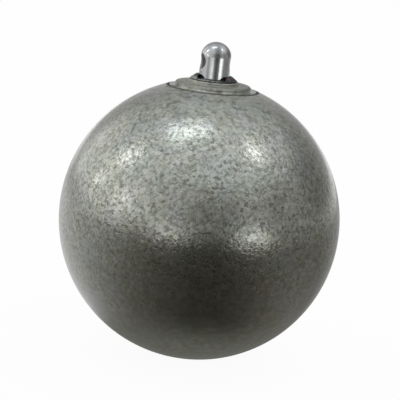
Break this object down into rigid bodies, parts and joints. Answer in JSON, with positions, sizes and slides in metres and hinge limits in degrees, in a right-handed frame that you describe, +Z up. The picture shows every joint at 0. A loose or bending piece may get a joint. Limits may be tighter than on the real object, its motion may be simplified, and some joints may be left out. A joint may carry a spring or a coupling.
{
  "type": "throwing hammer head",
  "caption": "Solid steel throwing ball with a screwed-in bearing cap and a swivelling chromed eye for the wire, turning on a hidden thrust bearing.",
  "frame": {"origin": "the lowest point of the ball, straight under its centre, which is 60 mm up", "axes": "+Z runs up the swivel's axis from the ball's centre to the top of the eye; at rest the eye's cross hole and the two pin-spanner holes of the cap lie along X"},
  "size_m": [0.12, 0.12, 0.1362],
  "materials": {
    "hammertone_paint": "hammertone",
    "chrome_plate": "polished",
    "black_rubber": "matte",
    "bearing_steel": "ground",
    "sintered_bronze": "matte",
    "cage_brass": "satin",
    "zinc_plate": "satin",
    "cast_lead": "matte"
  },
  "bodies": {
    "head": {"head_ball": "hammertone_paint", "bearing_cap": "hammertone_paint", "guide_bush": "sintered_bronze", "upper_race": "bearing_steel", "trim_weight": "cast_lead", "trim_plug": "zinc_plate"},
    "spindle": {"swivel_eye": "chrome_plate", "dust_seal": "black_rubber", "lower_race": "bearing_steel", "thrust_washer": "zinc_plate", "castle_nut": "zinc_plate", "split_pin": "zinc_plate"},
    "cage": {"ball_cage": "cage_brass", "bearing_ball_01": "bearing_steel", "bearing_ball_02": "bearing_steel", "bearing_ball_03": "bearing_steel", "bearing_ball_04": "bearing_steel", "bearing_ball_05": "bearing_steel", "bearing_ball_06": "bearing_steel", "bearing_ball_07": "bearing_steel", "bearing_ball_08": "bearing_steel", "bearing_ball_09": "bearing_steel", "bearing_ball_10": "bearing_steel", "bearing_ball_11": "bearing_steel", "bearing_ball_12": "bearing_steel"}
  },
  "joints": [
    {"name": "swivel_spin", "type": "hinge", "parent": "head", "child": "spindle", "pos_m": [0, 0, 0.12], "axis": [0, 0, 1], "continuous": true},
    {"name": "cage_spin", "type": "hinge", "parent": "head", "child": "cage", "pos_m": [0, 0, 0.0965], "axis": [0, 0, 1], "continuous": true}
  ],
  "couplings": [
    {"joint": "cage_spin", "follows": "swivel_spin", "ratio": 0.5}
  ]
}
